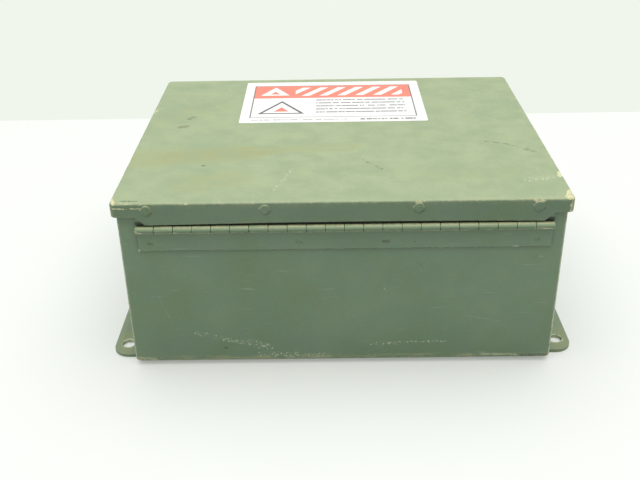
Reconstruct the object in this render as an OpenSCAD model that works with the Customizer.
// Hinged sheet-steel enclosure lying on its back, with a small dry-type transformer inside.
// +Z points out of the door, +X runs along the hinge, and the hinge wall faces -Y.
// The origin is the centre of the mounting holes, on the plane that the strips rest on.

/* [Body] */
// Outside width of the body, along the hinge
body_w = 301.2; // [250:0.1:420]
// Outside depth of the body, from the hinge wall to the latch wall
body_d = 251.6; // [209:0.1:360]
// Height of the body, from its back to its rim
body_h = 124.7; // [112:0.1:200]
// Thickness of the folded sheet of the body and the door
wall_t = 1.9; // [1.2:0.1:3]
// Outside radius of the folded and ground corners
corner_r = 3; // [2.2:0.1:4]

/* [Mounting strips] */
// Thickness of each strip
strip_t = 2.7; // [1.5:0.1:5]
// How far a strip stands out past the body's side
strip_reach = 19.6; // [17:0.1:30]
// How far a strip laps under the body
strip_lap = 18; // [12:1:30]
// Distance from the body's front and back faces to the strip's ends
strip_setback = 10.3; // [0:0.1:20]
// Radius of a strip's outer corners
strip_corner_r = 12; // [2:0.5:16]
// Diameter of the mounting holes
hole_d = 9.53; // [5:0.01:12]
// Distance from the body's side to a mounting hole's centre
hole_out = 9.75; // [8:0.05:11]
// Distance from a strip's end to a mounting hole's centre
hole_end = 13.9; // [10:0.1:30]

/* [Door] */
// Clearance between the body's walls and the flanges of the door
door_gap = 1.1; // [0.8:0.1:2]
// Depth of the side and latch flanges, from the door's top
flange_depth = 10; // [8:0.1:12]
// Depth of the hinge flange, from the door's top
hinge_flange_depth = 16.1; // [14:0.1:16.2]
// How far the deep part of the hinge flange ends short of the hinge, at each side
hinge_flange_inset = 1.1; // [0:0.1:5]
// Outside radius of the door's folded edges
fold_r = 2.2; // [2:0.1:3]
// Thickness of the squeezed gasket
gasket_t = 3.2; // [2:0.1:5]
// Width of the gasket strip
gasket_w = 12; // [8:1:16]

/* [Hinge] */
// Length of one knuckle with its gap
knuckle_pitch = 12.7; // [10:0.1:20]
// Gap between neighbouring knuckles
knuckle_gap = 0.35; // [0.2:0.05:0.6]
// Outside radius of the knuckles
knuckle_r = 2.7; // [2.6:0.05:2.8]
// Radius of the hinge pin
pin_r = 1.25; // [1:0.05:1.3]
// Radial clearance of the pin in the knuckles
pin_clearance = 0.05; // [0.02:0.01:0.08]
// Thickness of the hinge leaves
leaf_t = 1.5; // [1.3:0.1:1.6]
// Distance from the hinge axis to the body leaf's lower edge
leaf_reach = 17; // [12:0.5:30]
// Least distance from the hinge's ends to the body's sides
hinge_end = 10.8; // [8:0.1:20]
// Sideways shift of the hinge from the body's middle
hinge_shift = 1.8; // [-3:0.1:3]
// Distance from the door's top down to the hinge axis
hinge_drop = 19.6; // [19.5:0.1:24]
// Radius of the plug-weld nubs on the hinge flange
nub_r = 3.4; // [2:0.1:4]
// Height of the plug-weld nubs
nub_h = 0.4; // [0.2:0.1:0.5]
// Distance from the door's top down to the nubs' centres
nub_drop = 5.8; // [5.7:0.1:9]

/* [Label] */
// Width of the label
label_w = 152.4; // [80:0.1:180]
// Depth of the label
label_d = 101.6; // [60:0.1:120]
// Thickness of the label
label_t = 0.25; // [0.1:0.05:0.5]
// Distance from the door's latch edge to the label
label_edge = 9.5; // [5:0.5:30]
// Sideways shift of the label from the door's middle
label_shift = -3.8; // [-20:0.1:20]

/* [Latch] */
// Distance between the two latch bolts
latch_span = 180; // [120:1:200]
// Thickness of the latch lugs
lug_t = 3; // [2:0.1:4]
// Width of the latch lugs
lug_w = 24; // [18:1:30]
// How far the bolt's axis stands out from the door's latch flange
bolt_out = 12; // [10.5:0.5:16]
// Distance from the door's top down to the door lug's ear
door_ear_drop = 25.5; // [22:0.5:30]
// Free height between the door lug's ear and the body lug's ear
ear_gap = 9; // [8:0.5:14]
// Radius of the latch bolt's shank
bolt_r = 3.1; // [2.5:0.1:4]
// Height of the latch bolt's five-sided head
bolt_head_h = 5; // [4:0.5:8]
// Radial clearance of the bolt in its lugs
bolt_clearance = 0.3; // [0.2:0.05:0.5]

/* [Sub-panel] */
// Gap between the body's outside and the sub-panel's edge
panel_margin = 14.3; // [12:0.1:20]
// Thickness of the sub-panel
panel_t = 2; // [1.5:0.1:3]
// Height of the stud collars under the sub-panel
collar_h = 6.4; // [5:0.1:12]
// Distance from the sub-panel's edges to its fixing holes
panel_hole_in = 6.5; // [6:0.1:10]

/* [Transformer] */
// Width of the core's outer legs and yokes
leg = 16; // [14:0.5:16.5]
// Thickness of the stack of laminations
stack = 48; // [40:1:50]
// Distance between the terminals on the boards
pole_pitch = 22; // [20:0.5:24]
// Height of the terminal boards
board_h = 9; // [7:0.5:10]

/* [Fuses and terminals] */
// Distance between the two fuses
fuse_pitch = 18; // [16:0.5:22]
// Radius of the fuse caps
fuse_r = 5.15; // [4:0.05:6]
// Length of a fuse
fuse_len = 38; // [36:1:40]
// Number of poles on the terminal strip
strip_poles = 5; // [4:1:6]
// Radius of the insulated leads
lead_r = 1.8; // [1.2:0.1:2]
// Radius of the bends in the leads
lead_bend = 6; // [5:0.5:7]

/* [Hidden] */
$fn = 48;
// Free space around a screw in its hole
hole_gap = 0.15;
far = 500;

// Levels of the box, from the resting plane up
floor_z = strip_t + wall_t;
rim_z = strip_t + body_h;
door_under = rim_z + gasket_t;
door_top = door_under + wall_t;
axis_z = door_top - hinge_drop;

// Plan of the box
front_y = -body_d / 2;
back_y = body_d / 2;
flange_front_y = front_y - leaf_t - wall_t;
flange_back_y = back_y + door_gap + wall_t;
door_w = body_w + 2 * (door_gap + wall_t);
door_d = flange_back_y - flange_front_y;
door_mid_y = (flange_back_y + flange_front_y) / 2;

// Mounting strips
strip_len = body_d - 2 * strip_setback;
hole_span_x = body_w + 2 * hole_out;
hole_span_y = strip_len - 2 * hole_end;

// Hinge: the axis stands clear of the wall by more than the knuckle's radius
axis_y = front_y - knuckle_r - 0.3;
knuckles = floor((body_w - 2 * hinge_end) / knuckle_pitch);
hinge_len = knuckles * knuckle_pitch;
hinge_x0 = hinge_shift - hinge_len / 2;
nub_step = hinge_len / 3.08;
nub_x0 = hinge_shift - 1.5 - nub_step * 1.425;
nub_places = [nub_x0, nub_x0 + nub_step * 0.865, nub_x0 + nub_step * 1.984, nub_x0 + nub_step * 2.851];

// Latch
bolt_y = flange_back_y + bolt_out;
door_ear_top = door_top - door_ear_drop;
body_ear_top = door_ear_top - lug_t - ear_gap;
weld_nut_h = 5;
washer_h = 1.2;
clip_h = 1;
bolt_travel = ear_gap - clip_h - 0.4;
bolt_tip_z = body_ear_top + 0.6;
bolt_head_z = door_ear_top + washer_h + bolt_travel;

// Sub-panel
panel_w = body_w - 2 * panel_margin;
panel_d = body_d - 2 * panel_margin;
panel_z = floor_z + collar_h;
panel_top = panel_z + panel_t;
stud_x = panel_w / 2 - panel_hole_in;
stud_y = panel_d / 2 - panel_hole_in;
stud_r = 2.4;

// Transformer: an E-and-I core of standard proportions, with its stack along X
core_w = 6 * leg;
core_h = 5 * leg;
core_z = panel_top + 1;
core_top = core_z + core_h;
trafo_x = -panel_w / 2 + 76;
trafo_y = -12;
angle_t = 2;
angle_reach = 18;
angle_x = stack / 2 + angle_t + angle_reach;
core_bolt_r = 2.5;
core_bolt_y = core_w / 2 - leg / 2;
coil_gap = 0.4;
coil_side = leg - 0.5;
coil_end = 14.5;
coil_z = core_z + leg + coil_gap;
coil_h = 3 * leg - 2 * coil_gap;
flange_t = 2.5;
tube_t = 1.5;
foot_screw_x = stack / 2 + angle_t + 11;
foot_screw_y = core_w / 2 - 12;
board_x = stack / 2 + 10;
board_w = 18;
board_top = core_top + board_h;
lead_z = board_top + lead_r + 0.1;

// Fuse block, with its fuses along X
fuse_x = panel_w / 2 - 66;
fuse_y = panel_d / 2 - 32;
fuse_base_h = 12;
fuse_base_w = fuse_len + 38;
fuse_base_d = 2 * fuse_pitch + 4;
fuse_z = panel_top + fuse_base_h + fuse_r + 2.2;
clip_x = fuse_len / 2 - 5;
fuse_screw_x = fuse_len / 2 + 12;
clip_plate_t = 1;
fuse_lead_z = panel_top + fuse_base_h + clip_plate_t + lead_r + 0.1;

// Terminal strip, with its poles along Y
strip_pitch = pole_pitch / 2;
strip_x = fuse_x - 10;
strip_y = trafo_y - 1.5 * pole_pitch + (strip_poles - 1) / 2 * strip_pitch;
strip_base_h = 9;
strip_base_w = 24;
strip_base_d = strip_poles * strip_pitch + 14;
strip_row_x = 6.5;
strip_lead_z = panel_top + strip_base_h + lead_r + 0.1;

// Ground lug
lug_x = strip_x + strip_base_w / 2 + 12;
ground_y = -panel_d / 2 + 16;
ground_len = 16;
ground_lead_z = strip_lead_z;
ground_h = ground_lead_z - panel_top + 5;

// ---- Shared shapes ----

// Rectangle centred on the origin, with true round corners
module round_rect(w, d, r) {
    square([w - 2 * r, d], center = true);
    square([w, d - 2 * r], center = true);
    for (x = [-1, 1], y = [-1, 1])
        translate([x * (w / 2 - r), y * (d / 2 - r)]) circle(r);
}

// Rectangle standing on the X axis, with its two upper corners round
module arch(w, h, r) {
    translate([-w / 2, 0]) square([w, h - r]);
    translate([-w / 2 + r, 0]) square([w - 2 * r, h]);
    for (x = [-1, 1])
        translate([x * (w / 2 - r), h - r]) circle(r);
}

// Block standing on z = 0 whose upright corners and upper edges are round
module soft_block(w, d, h, plan_r, edge_r) {
    intersection() {
        linear_extrude(h) round_rect(w, d, plan_r);
        translate([0, d / 2, 0]) rotate([90, 0, 0]) linear_extrude(d) arch(w, h, edge_r);
        translate([-w / 2, 0, 0]) rotate([90, 0, 90]) linear_extrude(w) arch(d, h, edge_r);
    }
}

// Places the children at the four corners of a rectangle
module at_corners(x, y) {
    for (sx = [-1, 1], sy = [-1, 1])
        translate([sx * x, sy * y, 0]) children();
}

// Slotted screw with its head's underside at z = 0
module screw(head_r, head_h, shank_r, len) {
    slot_w = head_r * 0.28;
    difference() {
        union() {
            cylinder(r = head_r, h = head_h);
            translate([0, 0, -len]) cylinder(r = shank_r, h = len + head_h / 2);
        }
        translate([-head_r - 1, -slot_w / 2, head_h * 0.45])
            cube([2 * head_r + 2, slot_w, head_h]);
    }
}

// Hexagon nut standing on z = 0
module hex_nut(across, h, bore_r) {
    difference() {
        cylinder(r = across / sqrt(3), h = h, $fn = 6);
        translate([0, 0, -1]) cylinder(r = bore_r, h = h + 2);
    }
}

function unit(v) = v / norm(v);

// Turns the children's +Z onto an axis-parallel direction
module along(d) {
    rotate([0, acos(d.z), abs(d.z) > 0.5 ? 0 : atan2(d.y, d.x)]) children();
}

// Round lead through square-cornered points, with quarter-turn bends
module lead(pts) {
    last = len(pts) - 1;
    for (i = [0 : last - 1]) {
        d = unit(pts[i + 1] - pts[i]);
        a = pts[i] + (i == 0 ? 0 : lead_bend) * d;
        b = pts[i + 1] - (i == last - 1 ? 0 : lead_bend) * d;
        translate(a) along(d) cylinder(r = lead_r, h = norm(b - a));
    }
    for (i = [1 : last - 1]) {
        u = unit(pts[i] - pts[i - 1]);
        v = -unit(pts[i + 1] - pts[i]);
        w = cross(v, u);
        c = pts[i] - lead_bend * (u + v);
        multmatrix([[v.x, u.x, w.x, c.x], [v.y, u.y, w.y, c.y], [v.z, u.z, w.z, c.z], [0, 0, 0, 1]])
            rotate_extrude(angle = 90) translate([lead_bend, 0]) circle(lead_r);
    }
}

// ---- Enclosure ----

module enclosure_body() {
    color([0.38, 0.45, 0.37])
    difference() {
        translate([0, 0, rim_z]) mirror([0, 0, 1])
            soft_block(body_w, body_d, body_h, corner_r, corner_r);
        translate([0, 0, floor_z]) linear_extrude(far)
            round_rect(body_w - 2 * wall_t, body_d - 2 * wall_t, corner_r - wall_t);
    }
}

// Strip at +X: its outer corners are round, and its inner edge is under the body
module mounting_strip() {
    inner_x = body_w / 2 - strip_lap;
    outer_x = body_w / 2 + strip_reach;
    difference() {
        linear_extrude(strip_t) {
            translate([inner_x, -strip_len / 2])
                square([outer_x - inner_x - strip_corner_r, strip_len]);
            translate([inner_x, -strip_len / 2 + strip_corner_r])
                square([outer_x - inner_x, strip_len - 2 * strip_corner_r]);
            for (y = [-1, 1])
                translate([outer_x - strip_corner_r, y * (strip_len / 2 - strip_corner_r)])
                    circle(strip_corner_r);
        }
        for (y = [-1, 1])
            translate([hole_span_x / 2, y * hole_span_y / 2, -1]) cylinder(d = hole_d, h = strip_t + 2);
    }
}

module mounting_strip_left() {
    color([0.53, 0.58, 0.47]) mirror([1, 0, 0]) mounting_strip();
}

module mounting_strip_right() {
    color([0.53, 0.58, 0.47]) mounting_strip();
}

// ---- Hinge ----

// One leaf's knuckles and plate: side is 1 for the leaf above the axis and -1 for the one below
module hinge_leaf(side, first, reach) {
    leaf_gap = 0.4;
    difference() {
        union() {
            for (i = [first : 2 : knuckles - 1])
                translate([hinge_x0 + i * knuckle_pitch + knuckle_gap / 2, 0, 0]) {
                    translate([0, axis_y, axis_z]) rotate([0, 90, 0])
                        cylinder(r = knuckle_r, h = knuckle_pitch - knuckle_gap);
                    translate([0, front_y - leaf_t, side > 0 ? axis_z : axis_z - knuckle_r - 1])
                        cube([knuckle_pitch - knuckle_gap, leaf_t, knuckle_r + 1]);
                }
            translate([hinge_x0, front_y - leaf_t,
                side > 0 ? axis_z + knuckle_r + leaf_gap : axis_z - reach])
                cube([hinge_len, leaf_t, reach - knuckle_r - leaf_gap]);
        }
        translate([hinge_x0 - 1, axis_y, axis_z]) rotate([0, 90, 0])
            cylinder(r = pin_r + pin_clearance, h = hinge_len + 2);
    }
}

module body_hinge_leaf() {
    color([0.39, 0.46, 0.38]) hinge_leaf(-1, 0, leaf_reach);
}

// This leaf reaches up behind the hinge flange, to just under the fold
module door_hinge_leaf() {
    color([0.36, 0.43, 0.35]) hinge_leaf(1, 1, hinge_drop - wall_t - gasket_t - 0.6);
}

module hinge_pin() {
    color("dimgray") translate([hinge_x0 + 0.5, axis_y, axis_z]) rotate([0, 90, 0])
        cylinder(r = pin_r, h = hinge_len - 1);
}

// Flat discs of weld metal that stand proud of the hinge flange
module hinge_weld_nubs() {
    color([0.42, 0.5, 0.4]) for (x = nub_places)
        translate([x, flange_front_y, door_top - nub_drop]) rotate([90, 0, 0])
            cylinder(r = nub_r, h = nub_h);
}

// ---- Door ----

module door_panel() {
    deep_x0 = hinge_x0 + hinge_flange_inset;
    deep_x1 = hinge_x0 + hinge_len - hinge_flange_inset;
    corner_cut = hinge_flange_depth - flange_depth;
    flange_bottom = door_top - flange_depth;
    deep_bottom = door_top - hinge_flange_depth;
    color([0.68, 0.75, 0.6])
    difference() {
        translate([0, door_mid_y, deep_bottom])
            soft_block(door_w, door_d, hinge_flange_depth, corner_r, fold_r);
        translate([0, door_mid_y, deep_bottom - 1]) linear_extrude(door_under - deep_bottom + 1)
            round_rect(door_w - 2 * wall_t, door_d - 2 * wall_t, corner_r - wall_t);
        translate([-far / 2, flange_front_y + wall_t + 0.01, deep_bottom - 1])
            cube([far, far, corner_cut + 1]);
        translate([0, flange_front_y - 1, 0]) rotate([90, 0, 0]) mirror([0, 0, 1])
            linear_extrude(wall_t + 2) {
                polygon([[-far, deep_bottom - 1], [deep_x0 + corner_cut + 1, deep_bottom - 1],
                    [deep_x0, flange_bottom], [-far, flange_bottom]]);
                polygon([[far, deep_bottom - 1], [deep_x1 - corner_cut - 1, deep_bottom - 1],
                    [deep_x1, flange_bottom], [far, flange_bottom]]);
            }
    }
}

// The gasket lies on the rim at the sides and back, and behind the door leaf at the front
module door_gasket() {
    outer_w = body_w + 0.4;
    outer_d = body_d;
    color("black") translate([0, 0, rim_z]) linear_extrude(gasket_t)
        difference() {
            round_rect(outer_w, outer_d, 2);
            square([outer_w - 2 * gasket_w, outer_d - 2 * gasket_w], center = true);
        }
}

module hazard_label() {
    color("white") translate([label_shift, flange_back_y - label_edge - label_d / 2, door_top])
        linear_extrude(label_t) round_rect(label_w, label_d, 1.5);
}

// ---- Latch ----

// Angle welded outside the latch wall; its ear holds the weld nut
module body_latch_lug(x) {
    leg_h = 16;
    translate([x, 0, 0]) difference() {
        union() {
            translate([-lug_w / 2, back_y, body_ear_top - leg_h]) cube([lug_w, lug_t, leg_h]);
            translate([-lug_w / 2, back_y, body_ear_top - lug_t])
                cube([lug_w, bolt_y + lug_w / 3 - back_y, lug_t]);
        }
        translate([0, bolt_y, body_ear_top - lug_t - 1]) cylinder(r = bolt_r + bolt_clearance, h = lug_t + 2);
    }
}

// Angle welded to the latch flange; its ear carries the captive bolt
module door_latch_lug(x) {
    top = door_top - fold_r - 0.3;
    translate([x, 0, 0]) difference() {
        union() {
            translate([-lug_w / 2, flange_back_y, door_ear_top - lug_t])
                cube([lug_w, 2, top - door_ear_top + lug_t]);
            translate([-lug_w / 2, flange_back_y, door_ear_top - lug_t])
                cube([lug_w, bolt_out + lug_w / 3, lug_t]);
        }
        translate([0, bolt_y, door_ear_top - lug_t - 1]) cylinder(r = bolt_r + bolt_clearance, h = lug_t + 2);
    }
}

// Five-sided captive bolt, backed out, with a washer face under its head
module latch_bolt(x) {
    head_r = 7;
    translate([x, bolt_y, 0]) {
        translate([0, 0, bolt_tip_z]) cylinder(r = bolt_r, h = bolt_head_z - bolt_tip_z);
        translate([0, 0, bolt_head_z]) cylinder(r = head_r, h = bolt_head_h, $fn = 5);
        translate([0, 0, bolt_head_z - washer_h]) cylinder(r = head_r + 0.5, h = washer_h);
    }
}

// Ring on the bolt's shank, under the door lug's ear, that keeps the bolt captive
module latch_clip(x) {
    translate([x, bolt_y, door_ear_top - lug_t - clip_h - 0.2]) difference() {
        cylinder(r = bolt_r + 2.4, h = clip_h);
        translate([0, 0, -1]) cylinder(r = bolt_r + 0.05, h = clip_h + 2);
    }
}

module body_latch_lug_left() {
    color([0.39, 0.46, 0.38]) body_latch_lug(-latch_span / 2);
}

module body_latch_lug_right() {
    color([0.39, 0.46, 0.38]) body_latch_lug(latch_span / 2);
}

module latch_weld_nuts() {
    color("silver") for (x = [-1, 1])
        translate([x * latch_span / 2, bolt_y, body_ear_top - lug_t - weld_nut_h])
            hex_nut(11, weld_nut_h, bolt_r + bolt_clearance);
}

module door_latch_lug_left() {
    color([0.39, 0.46, 0.38]) door_latch_lug(-latch_span / 2);
}

module door_latch_lug_right() {
    color([0.39, 0.46, 0.38]) door_latch_lug(latch_span / 2);
}

module latch_bolt_left() {
    color("silver") latch_bolt(-latch_span / 2);
}

module latch_bolt_right() {
    color("silver") latch_bolt(latch_span / 2);
}

module latch_clip_left() {
    color("gray") latch_clip(-latch_span / 2);
}

module latch_clip_right() {
    color("gray") latch_clip(latch_span / 2);
}

// ---- Sub-panel ----

module panel_studs() {
    color("silver") at_corners(stud_x, stud_y) {
        translate([0, 0, floor_z]) cylinder(r = 5, h = collar_h);
        translate([0, 0, floor_z]) cylinder(r = stud_r, h = collar_h + panel_t + 7);
    }
}

module sub_panel() {
    color("white") translate([0, 0, panel_z]) difference() {
        linear_extrude(panel_t) round_rect(panel_w, panel_d, 4);
        at_corners(stud_x, stud_y) translate([0, 0, -1])
            cylinder(r = stud_r + 0.3, h = panel_t + 2);
        translate([trafo_x, trafo_y, -1]) at_corners(foot_screw_x, foot_screw_y)
            cylinder(r = 2.4 + hole_gap, h = panel_t + 2);
    }
}

module panel_nuts() {
    color("silver") at_corners(stud_x, stud_y) translate([0, 0, panel_top])
        hex_nut(8.7, 4, stud_r + hole_gap);
}

// ---- Transformer ----

module at_trafo(z) {
    translate([trafo_x, trafo_y, z]) children();
}

// Places the children, which point along +X, at the four core bolts
module at_core_bolts(x) {
    for (y = [-1, 1], z = [leg / 2, core_h - leg / 2])
        translate([x, y * core_bolt_y, z]) rotate([0, 90, 0]) children();
}

module core_laminations() {
    color("dimgray") at_trafo(core_z) difference() {
        translate([-stack / 2, -core_w / 2, 0]) cube([stack, core_w, core_h]);
        for (y = [-2 * leg, leg])
            translate([-stack / 2 - 1, y, leg]) cube([stack + 2, leg, 3 * leg]);
        at_core_bolts(-stack / 2 - 1) cylinder(r = core_bolt_r + hole_gap, h = stack + 2);
    }
}

module coil_bobbin() {
    tube_x = stack + 0.6;
    tube_y = 2 * leg + 0.6;
    color("ivory") at_trafo(coil_z) difference() {
        union() {
            linear_extrude(coil_h) square([tube_x + 2 * tube_t, tube_y + 2 * tube_t], center = true);
            for (z = [0, (coil_h - flange_t) / 2, coil_h - flange_t])
                translate([0, 0, z]) linear_extrude(flange_t)
                    round_rect(stack + 2 * (coil_end + 1), 2 * (leg + coil_side), 3);
        }
        translate([-tube_x / 2, -tube_y / 2, -1]) cube([tube_x, tube_y, coil_h + 2]);
    }
}

// Winding between two flanges of the bobbin, level 0 below and 1 above
module winding(level) {
    room = (coil_h - 3 * flange_t) / 2;
    at_trafo(coil_z + flange_t + level * (room + flange_t)) linear_extrude(room) difference() {
        round_rect(stack + 2 * coil_end, 2 * (leg + coil_side - 1), 8);
        square([stack + 0.6 + 2 * tube_t, 2 * leg + 0.6 + 2 * tube_t], center = true);
    }
}

module primary_winding() {
    color("gold") winding(0);
}

module secondary_winding() {
    color("khaki") winding(1);
}

// Angle at the core's +X face: a tall leg against the yoke and a foot turned outwards
module core_angle(foot_z, leg_z, leg_h) {
    difference() {
        union() {
            translate([stack / 2, -core_w / 2, leg_z]) cube([angle_t, core_w, leg_h]);
            translate([stack / 2, -core_w / 2, foot_z]) cube([angle_t + angle_reach, core_w, angle_t]);
        }
        translate([0, 0, 1]) at_core_bolts(stack / 2 - 1) cylinder(r = core_bolt_r + hole_gap, h = angle_t + 2);
        for (y = [-1, 1])
            translate([foot_screw_x, y * foot_screw_y, foot_z - 1])
                cylinder(r = 2.4 + hole_gap, h = angle_t + 2);
    }
}

module lower_core_angle_right() {
    color("silver") at_trafo(panel_top) core_angle(0, 0, leg + 1);
}

module lower_core_angle_left() {
    color("silver") at_trafo(panel_top) mirror([1, 0, 0]) core_angle(0, 0, leg + 1);
}

module upper_core_angle_right() {
    color("silver") at_trafo(core_z - 1) core_angle(core_h + 1 - angle_t, core_h + 1 - leg, leg);
}

module upper_core_angle_left() {
    color("silver") at_trafo(core_z - 1) mirror([1, 0, 0]) core_angle(core_h + 1 - angle_t, core_h + 1 - leg, leg);
}

module core_bolts() {
    face = stack / 2 + angle_t;
    color("silver") at_trafo(core_z) at_core_bolts(-face) {
        translate([0, 0, -3.5]) cylinder(r = 4.6, h = 3.5, $fn = 6);
        translate([0, 0, -1]) cylinder(r = core_bolt_r, h = 2 * face + 7);
    }
}

module core_nuts() {
    color("silver") at_trafo(core_z) at_core_bolts(stack / 2 + angle_t)
        hex_nut(8, 4, core_bolt_r + hole_gap);
}

module foot_screws() {
    color("silver") at_trafo(panel_top + angle_t) at_corners(foot_screw_x, foot_screw_y)
        screw(4.2, 2.8, 2.4, angle_t + panel_t + 1.5);
}

// ---- Terminal boards ----

// Moulded board with a barrier at each side of each pole; poles is a list of places along Y
module terminal_board(y0, y1, poles) {
    barrier = 2;
    difference() {
        union() {
            translate([-board_w / 2, y0, 0]) cube([board_w, y1 - y0, board_h]);
            for (y = concat([y0 + barrier / 2], [for (p = poles) p + pole_pitch / 2]))
                if (y < y1)
                    translate([-board_w / 2, y - barrier / 2, 0]) cube([board_w, barrier, board_h + 4]);
        }
        for (p = poles)
            translate([0, p, board_h - 6]) cylinder(r = 2 + hole_gap, h = far);
    }
}

// Poles of the boards, numbered along Y from the front
function pole(i) = (i - 1.5) * pole_pitch;
board_end = pole_pitch / 2 + 1;

module primary_terminal_board() {
    color([0.2, 0.2, 0.22]) at_trafo(core_top) translate([-board_x, 0, 0])
        terminal_board(pole(0) - board_end, pole(3) + board_end, [for (i = [0 : 3]) pole(i)]);
}

module secondary_terminal_board() {
    color([0.2, 0.2, 0.22]) at_trafo(core_top) translate([board_x, 0, 0])
        terminal_board(pole(0) - board_end, pole(1) + board_end, [pole(0), pole(1)]);
}

module primary_terminal_screws() {
    lift = [0, 1, 1, 0];
    color("gold") at_trafo(board_top) for (i = [0 : 3])
        translate([-board_x, pole(i), lift[i]]) screw(3.6, 2.6, 2, 5);
}

module secondary_terminal_screws() {
    color("gold") at_trafo(board_top) for (i = [0, 1])
        translate([board_x, pole(i), 0]) screw(3.6, 2.6, 2, 5);
}

// Flat bar that joins the two middle poles; it clears the barrier between them on its arched middle
module voltage_link() {
    link_w = 8;
    rise_y = pole_pitch / 2 - 5;
    end_y = pole_pitch / 2 + 4;
    color("goldenrod") at_trafo(board_top) translate([-board_x, 0, 0]) difference() {
        translate([-link_w / 2, 0, 0]) {
            for (y = [-end_y, rise_y])
                translate([0, y, 0]) cube([link_w, end_y - rise_y, 1]);
            for (y = [-rise_y, rise_y - 1])
                translate([0, y, 0]) cube([link_w, 1, 5.4]);
            translate([0, -rise_y, 4.4]) cube([link_w, 2 * rise_y, 1]);
        }
        for (i = [1, 2])
            translate([0, pole(i), -1]) cylinder(r = 2 + hole_gap, h = 3);
    }
}

// ---- Fuse block ----

module at_fuses(z) {
    for (s = [-1, 1])
        translate([fuse_x, fuse_y + s * fuse_pitch / 2, z]) children();
}

module fuse_block() {
    wall = 2;
    color([0.15, 0.15, 0.17]) difference() {
        translate([fuse_x, fuse_y, panel_top]) {
            translate([-fuse_base_w / 2, -fuse_base_d / 2, 0])
                cube([fuse_base_w, fuse_base_d, fuse_base_h]);
            for (s = [-1, 0, 1])
                translate([-fuse_base_w / 2, s * (fuse_base_d / 2 - wall / 2) - wall / 2, 0])
                    cube([fuse_base_w, wall, fuse_base_h + 9]);
        }
        at_fuses(panel_top + fuse_base_h - 6) for (s = [-1, 1])
            translate([s * fuse_screw_x, 0, 0]) cylinder(r = 2 + hole_gap, h = far);
        at_fuses(panel_top - 1) cylinder(r = 2.2 + hole_gap, h = far);
    }
}

// Spring clip round a fuse cap, on a flat tail that runs out to the terminal screw
module fuse_clip() {
    clip_w = 8;
    spring_t = 0.7;
    rise = fuse_z - panel_top - fuse_base_h;
    difference() {
        union() {
            translate([clip_x - clip_w / 2, 0, rise]) rotate([0, 90, 0])
                cylinder(r = fuse_r + spring_t, h = clip_w);
            translate([clip_x - clip_w / 2, -2, 0]) cube([clip_w, 4, rise - fuse_r]);
            translate([clip_x - clip_w / 2, -4, 0])
                cube([fuse_screw_x + 5 - clip_x + clip_w / 2, 8, clip_plate_t]);
        }
        translate([clip_x - clip_w, 0, rise]) rotate([0, 90, 0])
            cylinder(r = fuse_r + 0.05, h = 2 * clip_w);
        translate([clip_x - clip_w, -fuse_r * 0.72, rise]) cube([2 * clip_w, fuse_r * 1.44, far]);
        translate([fuse_screw_x, 0, -1]) cylinder(r = 2 + hole_gap, h = clip_plate_t + 2);
    }
}

module fuse_clips() {
    color("goldenrod") at_fuses(panel_top + fuse_base_h) {
        fuse_clip();
        mirror([1, 0, 0]) fuse_clip();
    }
}

module fuse_tubes() {
    color("ivory") at_fuses(fuse_z) rotate([0, 90, 0])
        cylinder(r = fuse_r - 0.25, h = fuse_len - 20, center = true);
}

module fuse_caps() {
    cap = 10;
    color("silver") at_fuses(fuse_z) for (x = [-fuse_len / 2, fuse_len / 2 - cap])
        translate([x, 0, 0]) rotate([0, 90, 0]) cylinder(r = fuse_r, h = cap);
}

module fuse_terminal_screws() {
    color("gold") at_fuses(panel_top + fuse_base_h + clip_plate_t) for (s = [-1, 1])
        translate([s * fuse_screw_x, 0, 0]) screw(3.6, 2.6, 2, 6);
}

// Fixing screws down the middle of the block, under the fuses
module fuse_block_screws() {
    color("silver") at_fuses(panel_top + fuse_base_h) screw(3.4, 1.8, 2.2, fuse_base_h - 0.5);
}

// ---- Terminal strip ----

function strip_pole(i) = (i - (strip_poles - 1) / 2) * strip_pitch;

module terminal_strip() {
    barrier = 1.6;
    color([0.12, 0.12, 0.13]) translate([strip_x, strip_y, panel_top]) difference() {
        union() {
            translate([-strip_base_w / 2, -strip_base_d / 2, 0])
                cube([strip_base_w, strip_base_d, strip_base_h]);
            for (i = [0 : strip_poles])
                translate([-strip_base_w / 2, strip_pole(i - 0.5) - barrier / 2, 0])
                    cube([strip_base_w, barrier, strip_base_h + 6]);
        }
        for (i = [0 : strip_poles - 1], s = [-1, 1])
            translate([s * strip_row_x, strip_pole(i), strip_base_h - 6])
                cylinder(r = 1.8 + hole_gap, h = far);
        for (s = [-1, 1])
            translate([0, s * (strip_base_d / 2 - 3), -1]) cylinder(r = 1.6 + hole_gap, h = far);
    }
}

module terminal_strip_screws() {
    color("gold") translate([strip_x, strip_y, panel_top + strip_base_h])
        for (i = [0 : strip_poles - 1], s = [-1, 1])
            translate([s * strip_row_x, strip_pole(i), 0]) screw(3.1, 2.2, 1.8, 5);
}

module terminal_strip_fixing_screws() {
    color("silver") translate([strip_x, strip_y, panel_top + strip_base_h]) for (s = [-1, 1])
        translate([0, s * (strip_base_d / 2 - 3), 0]) screw(2.6, 1.8, 1.6, strip_base_h - 0.5);
}

// ---- Ground lug ----

module ground_lug() {
    lug_width = 10;
    color("lightgray") translate([lug_x, ground_y, panel_top]) difference() {
        union() {
            translate([-lug_width / 2, -ground_len / 2, 0]) cube([lug_width, ground_len, 2.5]);
            translate([-lug_width / 2, 0, 0]) cube([lug_width, ground_len / 2, ground_h]);
        }
        translate([0, -1, ground_lead_z - panel_top]) rotate([-90, 0, 0])
            cylinder(r = lead_r + 0.3, h = ground_len);
        translate([0, ground_len / 4, ground_lead_z - panel_top]) cylinder(r = 2 + hole_gap, h = far);
        translate([0, -ground_len / 4, -1]) cylinder(r = 2 + hole_gap, h = far);
    }
}

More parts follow.
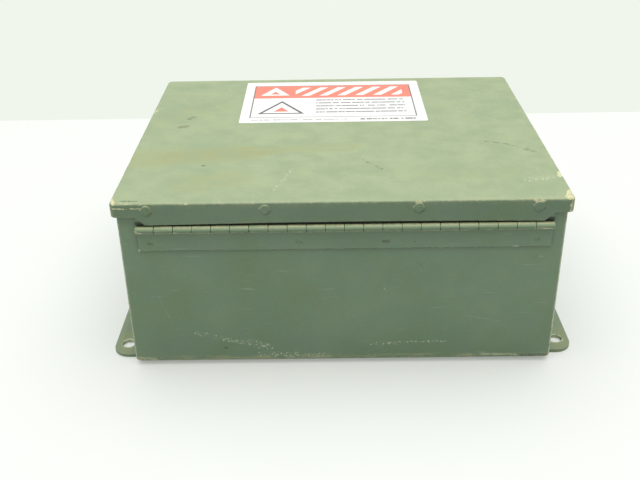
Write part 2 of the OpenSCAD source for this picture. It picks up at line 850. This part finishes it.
module ground_lug_screws() {
    color("silver") translate([lug_x, ground_y, panel_top]) {
        translate([0, ground_len / 4, ground_h]) screw(3, 1.5, 2, 3);
        translate([0, -ground_len / 4, 2.5]) screw(3, 1.5, 2, 2.3);
    }
}

// ---- Leads ----

// Runs from an outer pole of the primary board down to the sub-panel and behind the core
module primary_lead(pole_i, out, fuse_side) {
    start_x = trafo_x - board_x - 4;
    run_x = trafo_x - board_x - board_w / 2 - out;
    fuse_pole_y = fuse_y + fuse_side * fuse_pitch / 2;
    from_y = trafo_y + pole(pole_i);
    lead([[start_x, from_y, lead_z], [run_x, from_y, lead_z], [run_x, from_y, fuse_lead_z],
        [run_x, fuse_pole_y, fuse_lead_z], [fuse_x - fuse_screw_x - 4, fuse_pole_y, fuse_lead_z]]);
}

module primary_lead_left() {
    color("black") primary_lead(0, 22, 1);
}

module primary_lead_right() {
    color("black") primary_lead(3, 15, -1);
}

// Runs from a pole of the secondary board down to the terminal strip
module secondary_lead(pole_i) {
    from_y = trafo_y + pole(pole_i);
    edge_x = trafo_x + board_x + board_w / 2;
    run_x = (edge_x + strip_x - strip_base_w / 2) / 2;
    lead([[trafo_x + board_x + 4, from_y, lead_z], [run_x, from_y, lead_z],
        [run_x, from_y, strip_lead_z], [strip_x - strip_row_x - 3.5, from_y, strip_lead_z]]);
}

module secondary_lead_left() {
    color("firebrick") secondary_lead(0);
}

module secondary_lead_right() {
    color("firebrick") secondary_lead(1);
}

module ground_wire() {
    from_y = strip_y + strip_pole(0);
    color("green") lead([[strip_x + strip_row_x + 3.5, from_y, strip_lead_z],
        [lug_x, from_y, ground_lead_z], [lug_x, ground_y + ground_len / 4 + 2, ground_lead_z]]);
}

enclosure_body();
mounting_strip_left();
mounting_strip_right();
body_hinge_leaf();
door_hinge_leaf();
hinge_pin();
door_panel();
hinge_weld_nubs();
door_gasket();
hazard_label();
body_latch_lug_left();
body_latch_lug_right();
latch_weld_nuts();
door_latch_lug_left();
door_latch_lug_right();
latch_bolt_left();
latch_bolt_right();
latch_clip_left();
latch_clip_right();
panel_studs();
sub_panel();
panel_nuts();
core_laminations();
coil_bobbin();
primary_winding();
secondary_winding();
lower_core_angle_left();
lower_core_angle_right();
upper_core_angle_left();
upper_core_angle_right();
core_bolts();
core_nuts();
foot_screws();
primary_terminal_board();
secondary_terminal_board();
primary_terminal_screws();
secondary_terminal_screws();
voltage_link();
fuse_block();
fuse_clips();
fuse_tubes();
fuse_caps();
fuse_terminal_screws();
fuse_block_screws();
terminal_strip();
terminal_strip_screws();
terminal_strip_fixing_screws();
ground_lug();
ground_lug_screws();
primary_lead_left();
primary_lead_right();
secondary_lead_left();
secondary_lead_right();
ground_wire();
